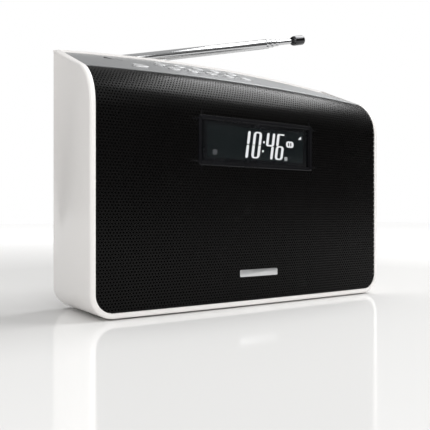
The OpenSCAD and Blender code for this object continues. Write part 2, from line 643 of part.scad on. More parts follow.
cabinet();
front_baffle();
grille();
grille_cloth();
top_panel();
badge_plate();
display_bezel();
display_lens();
lcd_glass();
backlight();
display_board();
display_ribbon();
power_button();
preset_button_1();
preset_button_2();
preset_button_3();
preset_button_4();
preset_button_5();
menu_button_1();
menu_button_2();
menu_button_3();
menu_button_4();
menu_button_5();
button_board();
tact_switches();
left_basket();
left_magnet();
left_surround();
left_cone();
right_basket();
right_magnet();
right_surround();
right_cone();
speaker_screws();
main_board();
tuner_can();
heatsink();
capacitors();
chips();
board_screws();
dc_jack();
headphone_jack();
jack_board();
battery_box();
battery_cells();
battery_springs();
battery_plates();
battery_door();
case_screws();
rubber_feet();
wiring();
antenna_bushing();
antenna_clip();
antenna_turret();
antenna_hinge_pin();
antenna_tube_1();
antenna_tube_2();
antenna_tube_3();
antenna_rod();
antenna_tip();
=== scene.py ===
import json
import math

import bpy
from mathutils import Matrix, Vector

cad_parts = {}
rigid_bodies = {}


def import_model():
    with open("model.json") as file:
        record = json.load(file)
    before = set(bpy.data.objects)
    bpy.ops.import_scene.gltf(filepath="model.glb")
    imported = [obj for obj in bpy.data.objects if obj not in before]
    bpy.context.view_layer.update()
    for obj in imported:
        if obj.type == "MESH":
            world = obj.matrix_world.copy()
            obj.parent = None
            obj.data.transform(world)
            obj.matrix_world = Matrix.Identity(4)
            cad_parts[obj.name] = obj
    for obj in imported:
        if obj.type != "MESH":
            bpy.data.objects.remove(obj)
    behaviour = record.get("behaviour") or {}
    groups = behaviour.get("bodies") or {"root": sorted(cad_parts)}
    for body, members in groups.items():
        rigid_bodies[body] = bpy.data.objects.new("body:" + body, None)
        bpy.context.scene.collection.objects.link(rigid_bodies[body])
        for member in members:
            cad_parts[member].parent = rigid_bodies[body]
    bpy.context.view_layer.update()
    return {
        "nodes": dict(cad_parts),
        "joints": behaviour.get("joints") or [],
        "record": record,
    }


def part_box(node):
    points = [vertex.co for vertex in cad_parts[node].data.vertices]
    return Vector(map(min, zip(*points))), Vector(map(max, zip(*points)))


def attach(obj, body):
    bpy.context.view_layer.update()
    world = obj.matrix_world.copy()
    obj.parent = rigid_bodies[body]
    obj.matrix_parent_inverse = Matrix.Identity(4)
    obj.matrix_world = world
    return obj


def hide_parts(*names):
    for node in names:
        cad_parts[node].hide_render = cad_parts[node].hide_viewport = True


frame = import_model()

MM = 0.001

# White shell: two sides and the bottom in one band, with the rear wall moulded on. Satin white
# ABS, 3.5 mm thick. Its front edge is a soft rim round the grille, and the top of the rear wall
# stands up behind the key panel as a thin lip.

wall = 3.5 * MM
rear_wall = 3 * MM
corner = 15.5 * MM
shoulder = 132 * MM
shoulder_r = 31 * MM
slope = math.radians(21.4)
crown_share = 0.12
bow = 2 * MM
rim_round = 1.5 * MM
back_round = 1.2 * MM
shoulder_steps = 18
corner_steps = 10
well_r = 3.1 * MM
well_depth = 1.6 * MM
power_hole_r = 5 * MM
phones_hole_r = 4 * MM
bush_hole_r = 3.6 * MM
drilled = 5 * MM
near = MM / 20

shell_low, shell_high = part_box("cabinet")
half = shell_high.x
under = shell_low.z
rear = shell_high.y
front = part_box("display_bezel")[0].y + bow
depth = rear - front
arc_turn = math.pi / 2 - slope
arc_depth = shoulder_r * (1 - math.cos(arc_turn))
arc_top = shoulder + shoulder_r * math.sin(arc_turn)
rear_edge = arc_top + (depth - arc_depth) * math.tan(slope)


def bulge(x):
    """1 in the middle of the width, 0 at the sides."""
    return 1 - min(abs(x) / half, 1) ** 2


def swell(point):
    """Moves a point of the straight form to where the bowed front and crowned top put it."""
    x, y, z = point
    fade = min(max((rear - y) / depth, 0), 1)
    y -= bow * bulge(x) * fade
    if z > shoulder:
        z = shoulder + (z - shoulder) * (1 + crown_share * bulge(x))
    return Vector((x, y, z))


def only(obj):
    """Makes obj the one selected and active object."""
    if bpy.context.mode != "OBJECT":
        bpy.ops.object.mode_set(mode="OBJECT")
    bpy.ops.object.select_all(action="DESELECT")
    obj.select_set(True)
    bpy.context.view_layer.objects.active = obj
    return obj


def placed():
    """The primitive just added, with its place put into its mesh."""
    bpy.ops.object.transform_apply(location=True, rotation=True, scale=True)
    return bpy.context.object


def edit(obj, mode):
    """Opens obj with nothing selected, to select "VERT", "EDGE" or "FACE"."""
    only(obj)
    bpy.ops.object.mode_set(mode="EDIT")
    bpy.ops.mesh.select_mode(type=mode)
    bpy.ops.mesh.select_all(action="DESELECT")


def pick(obj, verts=None, edges=None, faces=None):
    """Selects, in edit mode, what passes the test: a point, two points, or a middle and normal."""
    bpy.ops.object.mode_set(mode="OBJECT")
    mesh = obj.data
    if verts:
        for v in mesh.vertices:
            v.select = bool(verts(v.co))
    if edges:
        for e in mesh.edges:
            a, b = (mesh.vertices[i].co for i in e.vertices)
            e.select = bool(edges(a, b))
    if faces:
        for f in mesh.polygons:
            f.select = bool(faces(f.center, f.normal))
    bpy.ops.object.mode_set(mode="EDIT")


def done():
    bpy.ops.object.mode_set(mode="OBJECT")


def modify(obj, kind, **settings):
    """Adds a modifier to obj, sets it and applies it."""
    only(obj)
    modifier = obj.modifiers.new(kind.lower(), kind)
    for key, value in settings.items():
        setattr(modifier, key, value)
    bpy.ops.object.modifier_apply(modifier=modifier.name)


def soften(obj, width, segments=2, angle=50):
    """Rounds off the edges that turn by more than the angle, in degrees."""
    modify(obj, "BEVEL", width=width, segments=segments, limit_method="ANGLE",
        angle_limit=math.radians(angle))


def outward(obj):
    """Merges doubles and turns every face of a closed form outwards."""
    edit(obj, "VERT")
    bpy.ops.mesh.select_all(action="SELECT")
    bpy.ops.mesh.remove_doubles(threshold=0.002 * MM)
    bpy.ops.mesh.normals_make_consistent(inside=False)
    done()


def smooth(obj, angle=35):
    only(obj)
    bpy.ops.object.shade_smooth_by_angle(angle=math.radians(angle))


def rod(start, along, radius, length, sides=48):
    """A closed bar from start, pointing along a direction."""
    along = Vector(along).normalized()
    turn = Vector((0, 0, 1)).rotation_difference(along).to_euler()
    bpy.ops.object.select_all(action="DESELECT")
    bpy.ops.mesh.primitive_cylinder_add(vertices=sides, radius=radius, depth=length,
        location=Vector(start) + along * length / 2, rotation=turn)
    return placed()


def block(low, high):
    """A closed box between two corners."""
    low, high = Vector(low), Vector(high)
    bpy.ops.object.select_all(action="DESELECT")
    bpy.ops.mesh.primitive_cube_add(size=1, location=(low + high) / 2, scale=high - low)
    return placed()


def joined(parts):
    only(parts[0])
    for part in parts[1:]:
        part.select_set(True)
    if len(parts) > 1:
        bpy.ops.object.join()
    return parts[0]


def cut(obj, cutters):
    """Takes the cutters' shapes out of obj."""
    for cutter in cutters:
        modify(obj, "BOOLEAN", operation="DIFFERENCE", object=cutter, solver="EXACT")
        bpy.data.objects.remove(cutter)


class Link:
    """A shader socket that takes part in sums: each operator adds its Math node."""

    def __init__(self, finish, socket):
        self.finish = finish
        self.socket = socket

    def sum(self, operation, *values):
        return self.finish.add("ShaderNodeMath", {"operation": operation}, values)

    def __add__(self, other):
        return self.sum("ADD", self, other)

    def __mul__(self, other):
        return self.sum("MULTIPLY", self, other)

    __radd__ = __add__
    __rmul__ = __mul__


class Finish:
    """A material: its Principled shader, and one method that adds any other node."""

    def __init__(self, name):
        self.material = bpy.data.materials.new(name)
        self.material.use_nodes = True
        self.tree = self.material.node_tree
        self.shader = self.tree.nodes["Principled BSDF"]
        self.place = self.add("ShaderNodeTexCoord", {}, {}, "Object")

    def put(self, socket, value):
        if isinstance(value, Link):
            self.tree.links.new(value.socket, socket)
        else:
            socket.default_value = value

    def add(self, kind, settings, values, out=0):
        node = self.tree.nodes.new(kind)
        for key, value in settings.items():
            if key == "stops":
                ramp = node.color_ramp.elements
                while len(ramp) < len(value):
                    ramp.new(0.5)
                for stop, (position, shade) in zip(ramp, value):
                    stop.position = position
                    stop.color = (*shade, 1) if isinstance(shade, tuple) else (shade,) * 3 + (1,)
            else:
                setattr(node, key, value)
        for where, value in values.items() if isinstance(values, dict) else enumerate(values):
            self.put(node.inputs[where], value)
        return Link(self, node.outputs[out])

    def noise(self, scale, detail=3, rough=0.5):
        values = {"Vector": self.place, "Scale": scale, "Detail": detail, "Roughness": rough}
        return self.add("ShaderNodeTexNoise", {}, values)

    def blend(self, share, a, b):
        """The colour a where share is 0, and b where it is 1."""
        values = {0: share, 6: (*a, 1) if isinstance(a, tuple) else a,
            7: (*b, 1) if isinstance(b, tuple) else b}
        return self.add("ShaderNodeMix", {"data_type": "RGBA"}, values, 2)

    def bump(self, height, strength, distance=0.1 * MM):
        values = {"Height": height, "Strength": strength, "Distance": distance}
        return self.add("ShaderNodeBump", {}, values)

    def set(self, **sockets):
        for name, value in sockets.items():
            value = (*value, 1) if isinstance(value, tuple) and len(value) == 3 else value
            self.put(self.shader.inputs[name.replace("_", " ")], value)
        return self


def piece(obj, name, body, nodes, finish):
    """Names a finished piece, puts it on its body and gives it its material."""
    only(obj)
    obj.name = name
    obj.data.name = name
    obj.data.materials.clear()
    obj.data.materials.append(finish.material)
    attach(obj, body)
    if nodes:
        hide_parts(*nodes)
    return obj


# The side outline: up the front, round the shoulder, up the slope and down the rear.
bpy.ops.object.select_all(action="DESELECT")
bpy.ops.mesh.primitive_plane_add(size=MM, location=(0, 0, 0))
shell = placed()
edit(shell, "VERT")
bpy.ops.mesh.select_all(action="SELECT")
bpy.ops.mesh.merge(type="CENTER")
bpy.ops.transform.translate(value=(-half, front, under))
bpy.ops.mesh.extrude_region_move(TRANSFORM_OT_translate={"value": (0, 0, shoulder - under)})
bpy.ops.mesh.spin(steps=shoulder_steps, angle=arc_turn, center=(-half, front + shoulder_r, shoulder),
    axis=(1, 0, 0))
done()
edit(shell, "VERT")
pick(shell, verts=lambda p: p.y > front + arc_depth - 0.01 * MM)
bpy.ops.mesh.extrude_region_move(
    TRANSFORM_OT_translate={"value": (0, depth - arc_depth, rear_edge - arc_top)})
bpy.ops.mesh.extrude_region_move(TRANSFORM_OT_translate={"value": (0, 0, under - rear_edge)})
bpy.ops.mesh.select_all(action="SELECT")
bpy.ops.mesh.edge_face_add()

# Across the width, with a station just inside each corner's round.
strips = 20
edge_strip = corner + 0.5 * MM
middle_strip = 2 * (half - edge_strip) / strips
for width in [edge_strip] + [middle_strip] * strips + [edge_strip]:
    bpy.ops.mesh.extrude_region_move(TRANSFORM_OT_translate={"value": (width, 0, 0)})
done()
outward(shell)
edit(shell, "EDGE")
pick(shell, edges=lambda a, b: abs(a.x) > half - 2 * near and abs(a.x - b.x) < 2 * near
    and max(a.z, b.z) < under + 2 * near)
bpy.ops.mesh.bevel(offset=corner, offset_type="OFFSET", segments=corner_steps, affect="EDGES")
done()


def open_side(middle, normal):
    """The faces that the grille and the key panel take the place of."""
    faces_front = normal.y < -0.5
    faces_up = normal.z > 0.3
    return abs(normal.x) < 0.5 and (faces_front or faces_up)


edit(shell, "FACE")
pick(shell, faces=open_side)
bpy.ops.mesh.delete(type="FACE")
done()
modify(shell, "SOLIDIFY", thickness=wall, offset=-1, use_even_offset=True)


def on_outline(point):
    """True on the front and top outline, seen from the side."""
    if point.z < shoulder:
        return point.y < front + near
    if point.y < front + arc_depth:
        return math.dist((point.y, point.z), (front + shoulder_r, shoulder)) > shoulder_r - near
    return point.z > arc_top + (point.y - front - arc_depth) * math.tan(slope) - near


def on_skin(point):
    """True on the outside of the band, seen from the front."""
    lift = point.z - under
    if lift < corner:
        over = max(abs(point.x) - (half - corner), 0)
        return math.hypot(over, corner - lift) > corner - near
    return abs(point.x) > half - near


edit(shell, "EDGE")
pick(shell, edges=lambda a, b: all(on_outline(p) and on_skin(p) for p in (a, b)))
bpy.ops.mesh.bevel(offset=rim_round, offset_type="OFFSET", segments=4, affect="EDGES")
done()
edit(shell, "EDGE")
pick(shell, edges=lambda a, b: all(p.y > rear - near and (on_skin(p) or p.z > rear_edge - near)
    for p in (a, b)))
bpy.ops.mesh.bevel(offset=back_round, offset_type="OFFSET", segments=3, affect="EDGES")
done()
for v in shell.data.vertices:
    v.co = swell(v.co)

# Screw wells, socket holes, the antenna's hole and the battery hatch in the rear wall.
screw_places = [(x, z * MM) for x in (-116 * MM, 116 * MM) for z in (20, 92, 148)]
rear_inside = rear - wall
swivel = next(j for j in frame["joints"] if j["name"] == "antenna_swivel")
pivot = Vector(swivel["pos_m"])
socket_height = (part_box("dc_jack")[0].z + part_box("dc_jack")[1].z) / 2
power_x = (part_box("dc_jack")[0].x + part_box("dc_jack")[1].x) / 2
phones_x = (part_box("headphone_jack")[0].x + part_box("headphone_jack")[1].x) / 2
door_low, door_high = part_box("battery_door")
hatch_x = 54 * MM
hatch_gap = 0.3 * MM


def rear_hole(x, z, radius, sunk):
    return rod((x, rear - sunk, z), (0, 1, 0), radius, sunk + MM, 32)


cut(shell, [rear_hole(x, z, well_r, well_depth) for x, z in screw_places])
cut(shell, [rear_hole(power_x, socket_height, power_hole_r, drilled),
    rear_hole(phones_x, socket_height, phones_hole_r, drilled),
    rear_hole(pivot.x, pivot.z, bush_hole_r, drilled),
    block((-hatch_x, rear_inside - MM, door_low.z - hatch_gap),
        (hatch_x, rear + MM, door_high.z + hatch_gap))])
soften(shell, 0.3 * MM)
smooth(shell, 40)

white = Finish("white_moulding")
cloudy = white.noise(9, 2)
grain = white.noise(2600, 2, 0.6)
white.set(Base_Color=white.blend(cloudy, (0.79, 0.768, 0.748), (0.83, 0.81, 0.792)),
    Roughness=cloudy * 0.08 + 0.26, Normal=white.bump(grain, 0.05), IOR=1.5)
white.set(Coat_Weight=0.15, Coat_Roughness=0.12)
piece(shell, "white_shell", "radio", ["cabinet"], white)

# Front grille: a painted steel sheet, 0.8 mm thick, punched all over with round holes in
# staggered rows and rolled back over the shoulder. It is bonded to the baffle behind it.

pitch = 2.2 * MM
hole_r = 0.68 * MM
row_step = pitch * math.sqrt(3)
grille_sunk = 0.4 * MM
sheet_t = 0.8 * MM
weld = 0.02 * MM
opening_in = 2.6 * MM
seam_depth = 16.5 * MM
grille_half = half - wall - 0.15 * MM
grille_low = under + wall + 0.15 * MM
grille_corner = corner - wall
bend_r = shoulder_r - grille_sunk
seam_turn = math.acos(1 - seam_depth / shoulder_r)
grille_up = shoulder - grille_low + bend_r * seam_turn
window_low, window_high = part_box("display_bezel")


def hole_tile(x, z):
    """One hole and the hexagon of sheet round it."""
    bpy.ops.object.select_all(action="DESELECT")
    bpy.ops.mesh.primitive_circle_add(vertices=12, radius=hole_r, fill_type="NOTHING",
        location=(x, 0, z), rotation=(math.pi / 2, 0, 0))
    tile = placed()
    edit(tile, "VERT")
    bpy.ops.mesh.select_all(action="SELECT")
    bpy.ops.mesh.extrude_region_move()
    grow = pitch / math.sqrt(3) / hole_r
    bpy.ops.transform.resize(value=(grow, 1, grow), center_override=(x, 0, z))
    flat_sides = pitch / math.sqrt(3) * math.cos(math.pi / 6)

    def between_corners(point):
        angle = math.degrees(math.atan2(point.z - z, point.x - x)) % 60
        return math.dist((point.x, point.z), (x, z)) > flat_sides and min(angle, 60 - angle) < 5

    pick(tile, verts=between_corners)
    bpy.ops.transform.resize(value=(math.cos(math.pi / 6), 1, math.cos(math.pi / 6)),
        center_override=(x, 0, z))
    done()
    return tile


columns = int(2 * grille_half / pitch) + 2
row_pairs = int(grille_up / row_step) + 2
grille = joined([hole_tile(-columns * pitch / 2, 0), hole_tile(-(columns - 1) * pitch / 2, row_step / 2)])
modify(grille, "ARRAY", count=columns, use_relative_offset=False, use_constant_offset=True,
    constant_offset_displace=(pitch, 0, 0))
modify(grille, "ARRAY", count=row_pairs, use_relative_offset=False, use_constant_offset=True,
    constant_offset_displace=(0, 0, row_step))
edit(grille, "VERT")
bpy.ops.mesh.select_all(action="SELECT")
bpy.ops.mesh.remove_doubles(threshold=weld)


def trim(point, normal):
    """Cuts away what lies beyond a plane."""
    bpy.ops.mesh.select_all(action="SELECT")
    bpy.ops.mesh.bisect(plane_co=point, plane_no=normal, clear_outer=True)


trim((0, 0, near), (0, 0, -1))
trim((0, 0, grille_up), (0, 0, 1))
for side in (-1, 1):
    trim((side * grille_half, 0, 0), (side, 0, 0))
    for angle in range(15, 90, 15):
        lean = math.radians(angle)
        out = Vector((side * math.sin(lean), 0, -math.cos(lean)))
        trim(Vector((side * (grille_half - grille_corner), 0, grille_corner)) + out * grille_corner, out)


def behind_frame(middle, normal):
    """Sheet that the display window takes the place of, up to the middle of its frame."""
    height = middle.z + grille_low
    return (abs(middle.x) < window_high.x - opening_in
        and window_low.z + opening_in < height < window_high.z - opening_in)


pick(grille, faces=behind_frame)
bpy.ops.mesh.delete(type="FACE")
done()


def rolled(x, height):
    """Where the flat sheet's point lies once it is rolled over the shoulder."""
    beyond = grille_low + height - shoulder
    if beyond < 0:
        return swell((x, front + grille_sunk, grille_low + height))
    turn = beyond / bend_r
    return swell((x, front + shoulder_r - bend_r * math.cos(turn), shoulder + bend_r * math.sin(turn)))


def split_off(obj, test):
    """Splits off the faces that pass the test, so that no piece of the sheet is too heavy."""
    edit(obj, "FACE")
    pick(obj, faces=test)
    before = set(bpy.data.objects)
    bpy.ops.mesh.separate(type="SELECTED")
    done()
    return next(o for o in bpy.data.objects if o not in before)


upper_band = split_off(grille, lambda middle, normal: middle.z > 2 * grille_up / 3)
middle_band = split_off(grille, lambda middle, normal: middle.z > grille_up / 3)
bands = {"lower": grille, "middle": middle_band, "upper": upper_band}
sheets = {}
for level, band in bands.items():
    sheets[f"grille_{level}_left"] = split_off(band, lambda middle, normal: middle.x < 0)
    sheets[f"grille_{level}_right"] = band

punched = Finish("punched_sheet")
patchy = punched.noise(30, 3)
speckle = punched.noise(1800, 2, 0.7)
punched.set(Base_Color=punched.blend(patchy, (0.0016, 0.0014, 0.0013), (0.0026, 0.0023, 0.0021)),
    Roughness=patchy * 0.08 + 0.22, Normal=punched.bump(speckle, 0.08, 0.03 * MM))
punched.set(Specular_IOR_Level=0.2)

for name, sheet in sheets.items():
    for v in sheet.data.vertices:
        v.co = rolled(v.co.x, v.co.z)
    edit(sheet, "FACE")
    bpy.ops.mesh.select_all(action="SELECT")
    bpy.ops.mesh.normals_make_consistent(inside=False)
    done()
    if sum(f.normal.y for f in sheet.data.polygons) > 0:
        sheet.data.flip_normals()
    modify(sheet, "SOLIDIFY", thickness=sheet_t, offset=-1, use_even_offset=True)
    smooth(sheet, 40)
    piece(sheet, name, "radio", ["grille"], punched)

# Acoustic cloth behind the holes: a fine black weave, stretched over the baffle and glued round its
# edge. It keeps the shape of the frame's sheet and gets a woven finish.

cloth = Finish("acoustic_cloth")
threads = {"Vector": cloth.place, "Scale": 900}
warp = cloth.add("ShaderNodeTexWave", {"bands_direction": "X"}, threads)
weft = cloth.add("ShaderNodeTexWave", {"bands_direction": "Z"}, threads)
cloth.set(Base_Color=cloth.blend(warp * weft, (0.0012, 0.0011, 0.0011), (0.004, 0.0038, 0.0036)),
    Specular_IOR_Level=0.05, Roughness=0.95, Normal=cloth.bump(warp * weft, 0.3))
frame["nodes"]["grille_cloth"].data.materials.clear()
frame["nodes"]["grille_cloth"].data.materials.append(cloth.material)

# Key panel: one silver-painted ABS moulding, 2.2 mm thick. It starts behind the grille's edge on
# the last of the shoulder and runs up the slope to the rear lip. The keys stand in holes in it,
# and a black inlay fills a short slanted notch near its left end.

panel_t = 2.2 * MM
panel_columns = 60
panel_rows = 22
panel_depth = 17.1 * MM
panel_end = depth - rear_wall - 0.1 * MM
panel_turn = math.acos(1 - panel_depth / shoulder_r)
panel_arc = shoulder_r * (arc_turn - panel_turn)
panel_up = panel_arc + (panel_end - arc_depth) / math.cos(slope)


def on_panel(x, along):
    """The panel's outer face, a distance along from its front edge."""
    if along < panel_arc:
        turn = panel_turn + along / shoulder_r
        return swell((x, front + shoulder_r * (1 - math.cos(turn)), shoulder + shoulder_r * math.sin(turn)))
    beyond = along - panel_arc
    return swell((x, front + arc_depth + beyond * math.cos(slope), arc_top + beyond * math.sin(slope)))


bpy.ops.object.select_all(action="DESELECT")
bpy.ops.mesh.primitive_grid_add(x_subdivisions=panel_columns, y_subdivisions=panel_rows, size=1)
panel = placed()
for v in panel.data.vertices:
    v.co = on_panel(2 * grille_half * v.co.x, panel_up * (v.co.y + 0.5))
modify(panel, "SOLIDIFY", thickness=panel_t, offset=-1, use_even_offset=True)
outward(panel)

press = next(j for j in frame["joints"] if j["name"] == "power_button_press")
key_up = -Vector(press["axis"])
key_turn = Vector((0, 0, 1)).rotation_difference(key_up)
key_r = 4.5 * MM
power_r = 4 * MM
power_reach = 2 * MM
key_play = 0.2 * MM
drill = 7 * MM
small_keys = [f"{kind}_button_{i}" for kind in ("preset", "menu") for i in range(1, 6)]


def key_middle(name):
    """The middle of a key's top face."""
    points = [v.co for v in frame["nodes"][name].data.vertices]
    reach = max(p.dot(key_up) for p in points)
    face = [p for p in points if p.dot(key_up) > reach - 0.01 * MM]
    return sum(face, Vector()) / len(face)


def spread(obj, middle, reach):
    """Draws a round bar out along X, to a form with round ends."""
    for side in (-1, 1):
        edit(obj, "VERT")
        pick(obj, verts=lambda p: side * (p.x - middle.x) > MM / 100)
        bpy.ops.transform.translate(value=(side * reach, 0, 0))
    done()
    return obj


key_holes = [rod(key_middle(name) - key_up * drill, key_up, key_r + key_play, 2 * drill)
    for name in small_keys]
power_middle = key_middle("power_button")
key_holes.append(spread(rod(power_middle - key_up * drill, key_up, power_r + key_play, 2 * drill),
    power_middle, power_reach))

notch_x = -90 * MM
notch_turn = -math.radians(34)
notch_sunk = 0.8 * MM
inlay_foot = 0.78 * MM
inlay_t = 0.83 * MM
inlay_play = 0.02 * MM
notch_half = 7 * MM
notch_r = 0.6 * MM
notch_depth = 50 * MM
notch_middle = on_panel(notch_x, panel_arc + (notch_depth - arc_depth) / math.cos(slope))
notch_place = (Matrix.Translation(notch_middle) @ key_turn.to_matrix().to_4x4()
    @ Matrix.Rotation(notch_turn, 4, "Z"))
notch = spread(rod((0, 0, -notch_sunk), (0, 0, 1), notch_r, 5 * notch_sunk), Vector(), notch_half - notch_r)
notch.data.transform(notch_place)
cut(panel, key_holes + [notch])
inlay = spread(rod((0, 0, -inlay_foot), (0, 0, 1), notch_r - inlay_play, inlay_t), Vector(),
    notch_half - notch_r)
inlay.data.transform(notch_place)
soften(inlay, 0.15 * MM)
smooth(inlay)
soften(panel, 0.35 * MM)
smooth(panel, 40)

silver = Finish("silver_paint")
flake = silver.add("ShaderNodeTexVoronoi", {}, {"Vector": silver.place, "Scale": 6000}, "Color")
flake_grey = silver.add("ShaderNodeRGBToBW", {}, [flake])
haze = silver.noise(14, 2)
silver.set(Base_Color=silver.blend(flake_grey, (0.25, 0.255, 0.26), (0.33, 0.335, 0.34)),
    Metallic=0.75, Roughness=haze * 0.08 + 0.34, Normal=silver.bump(flake_grey, 0.03, 0.02 * MM))
silver.set(Coat_Weight=0.2, Coat_Roughness=0.2)
piece(panel, "key_panel", "radio", ["top_panel"], silver)

# Keys: small round caps of silver-painted ABS with a shallow dished top and a soft edge, and one
# wider key at the left that switches the set on. Each slides in its hole on its own switch.

key_foot = 4.5 * MM
key_rim = 0.9 * MM
rim_drop = 0.25 * MM
dish_in = 1.2 * MM
dish_drop = 0.12 * MM
bright = Finish("key_paint")
key_haze = bright.noise(240, 2)
bright.set(Base_Color=bright.blend(key_haze, (0.58, 0.585, 0.59), (0.66, 0.665, 0.67)), Metallic=0.7,
    Roughness=key_haze * 0.1 + 0.24, Coat_Weight=0.3, Coat_Roughness=0.1)


def key_cap(name, radius, reach):
    """A cap with a rounded edge; its top is inset and dished."""
    top = key_middle(name)
    cap = rod(top - key_up * key_foot, key_up, radius, key_foot, 40)
    if reach:
        spread(cap, top, reach)
    edit(cap, "FACE")
    pick(cap, faces=lambda middle, normal: normal.dot(key_up) > 0.9)
    bpy.ops.mesh.inset(thickness=key_rim)
    bpy.ops.transform.translate(value=-key_up * rim_drop)
    bpy.ops.mesh.inset(thickness=dish_in)
    bpy.ops.transform.translate(value=-key_up * dish_drop)
    done()
    soften(cap, 0.35 * MM, 3)
    smooth(cap, 50)
    return piece(cap, name.replace("button", "key"), name, [name], bright)


for name in small_keys:
    key_cap(name, key_r, 0)
key_cap("power_button", power_r, power_reach)

# Display frame: piano-black acrylic moulding set through the grille, its face a narrow frame with
# an inner chamfer. A clear window lies in it, printed black behind round the display's opening.

frame_band = 2.4 * MM
frame_corner = 1.6 * MM
chamfer = 0.6 * MM
window_well = 4.4 * MM
bezel = block(window_low, window_high)
edit(bezel, "EDGE")
pick(bezel, edges=lambda a, b: abs(a.y - b.y) > MM)
bpy.ops.mesh.bevel(offset=frame_corner, segments=5, affect="EDGES")
done()
edit(bezel, "FACE")
pick(bezel, faces=lambda middle, normal: normal.y < -0.9)
bpy.ops.mesh.inset(thickness=frame_band)
bpy.ops.mesh.extrude_region_move(TRANSFORM_OT_translate={"value": (0, chamfer, 0)})
bpy.ops.mesh.inset(thickness=chamfer)
bpy.ops.mesh.extrude_region_move(TRANSFORM_OT_translate={"value": (0, window_well, 0)})
done()
soften(bezel, 0.3 * MM, 3, angle=40)
smooth(bezel, 40)
piano = Finish("piano_black")
smudge = piano.noise(60, 4, 0.6)
piano.set(Base_Color=piano.blend(smudge, (0.004, 0.004, 0.005), (0.008, 0.008, 0.009)),
    Roughness=smudge * 0.06 + 0.05, IOR=1.5, Specular_IOR_Level=0.2)
piece(inlay, "notch_inlay", "radio", [], piano)
piece(bezel, "display_frame", "radio", ["display_bezel"], piano)

lens_low, lens_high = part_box("display_lens")
lens = block(lens_low, lens_high)
modify(lens, "BEVEL", width=0.25 * MM, segments=2)
smooth(lens)
clear = Finish("clear_window")
wipe = clear.noise(90, 3)
clear.set(Base_Color=clear.blend(wipe, (0.010, 0.012, 0.013), (0.014, 0.016, 0.017)), Roughness=0.04,
    IOR=1.45, Alpha=0.16, Specular_IOR_Level=0.15)
piece(lens, "display_window", "radio", ["display_lens"], clear)

# Display: a dark liquid crystal panel behind a printed mask. Its lit figures show a time, with a
# cell gauge, a signal wedge and a lit square beside them, and a sensor eye at the lower left.

view_left = -43.2 * MM
view_right = 43.8 * MM
view_low = 104.6 * MM
view_high = 127.2 * MM
mask_y = lens_high.y + 0.03 * MM
mask_t = 0.03 * MM
mask = block((lens_low.x, mask_y, lens_low.z), (lens_high.x, mask_y + mask_t, lens_high.z))
cut(mask, [block((view_left, mask_y - MM, view_low), (view_right, mask_y + MM, view_high))])
piece(mask, "window_mask", "radio", [], piano)

lcd_low, lcd_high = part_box("lcd_glass")
lcd = block(lcd_low, lcd_high)
modify(lcd, "BEVEL", width=0.2 * MM, segments=2)
smooth(lcd)
crystal = Finish("liquid_crystal")
cells = crystal.add("ShaderNodeTexChecker", {}, {"Vector": crystal.place, "Scale": 2500,
    "Color1": (0.002, 0.004, 0.0045, 1), "Color2": (0.003, 0.005, 0.0055, 1)})
crystal.set(Base_Color=cells, Roughness=0.5, Specular_IOR_Level=0.1, Emission_Strength=0.12,
    Emission_Color=(0.010, 0.020, 0.022))
piece(lcd, "display_panel", "radio", ["lcd_glass"], crystal)

figure_y = lcd_low.y - 0.06 * MM
figure_t = 0.04 * MM
figure_low = 105.9 * MM
figure_high = 125.1 * MM
figure_middle = (figure_low + figure_high) / 2
stroke = 2.25 * MM
thin_stroke = 1.0 * MM
stroke_round = 1.1 * MM
hollow_round = 1.0 * MM
split = 0.4 * MM
lean = math.tan(math.radians(8.5))


def plate(x0, x1, z0, z1, round_by):
    """A thin plate facing the front, with rounded corners."""
    bar = block((x0, figure_y, z0), (x1, figure_y + figure_t, z1))
    if round_by:
        edit(bar, "EDGE")
        pick(bar, edges=lambda a, b: abs(a.y - b.y) > figure_t / 2)
        bpy.ops.mesh.bevel(offset=round_by, segments=6, affect="EDGES")
        done()
    return bar


def ring(x, z0, z1, width, radius):
    """A round-cornered figure outline with thick sides and thin ends."""
    outline = plate(x - width / 2, x + width / 2, z0, z1, radius)
    hollow = plate(x - width / 2 + stroke, x + width / 2 - stroke, z0 + thin_stroke, z1 - thin_stroke,
        hollow_round)
    for v in hollow.data.vertices:
        v.co.y += math.copysign(figure_t, v.co.y - figure_y - figure_t / 2)
    cut(outline, [hollow])
    return outline


def upright(x, z0, z1):
    """One upright stroke of a figure."""
    return plate(x - stroke / 2, x + stroke / 2, z0, z1, stroke_round)


figure_w = 7.6 * MM
side_x = (figure_w - stroke) / 2
one_x = -8.5 * MM
zero_x = -0.7 * MM
colon_x = 5.6 * MM
dot_half = 0.8 * MM
dot_round = 0.7 * MM
four_x = 11.5 * MM
six_x = 21.1 * MM
nought = ring(zero_x, figure_low, figure_high, figure_w, 2.6 * MM)
cut(nought, [block((zero_x - figure_w, figure_y - MM, figure_middle - split / 2),
    (zero_x + figure_w, figure_y + MM, figure_middle + split / 2))])
figures = [
    upright(one_x, figure_middle + split / 2, figure_high),
    upright(one_x, figure_low, figure_middle - split / 2),
    nought,
    plate(colon_x - dot_half, colon_x + dot_half, 117.2 * MM, 118.9 * MM, dot_round),
    plate(colon_x - dot_half, colon_x + dot_half, 110.6 * MM, 112.3 * MM, dot_round),
    upright(four_x - side_x, figure_middle + 0.2 * MM, figure_high),
    upright(four_x + side_x, figure_middle + split / 2, figure_high),
    upright(four_x + side_x, figure_low, figure_middle - split / 2),
    plate(four_x - side_x, four_x + side_x, figure_middle - 0.2 * MM, figure_middle + 1.0 * MM, 0.3 * MM),
    upright(six_x - side_x, figure_middle + split, figure_high),
    plate(six_x - side_x, six_x + side_x + 0.3 * MM, figure_high - thin_stroke, figure_high, 0.5 * MM),
    ring(six_x, figure_low, figure_middle + 0.6 * MM, figure_w, 2.4 * MM)]
digits = joined(figures)
for v in digits.data.vertices:
    v.co.x += (v.co.z - figure_middle) * lean
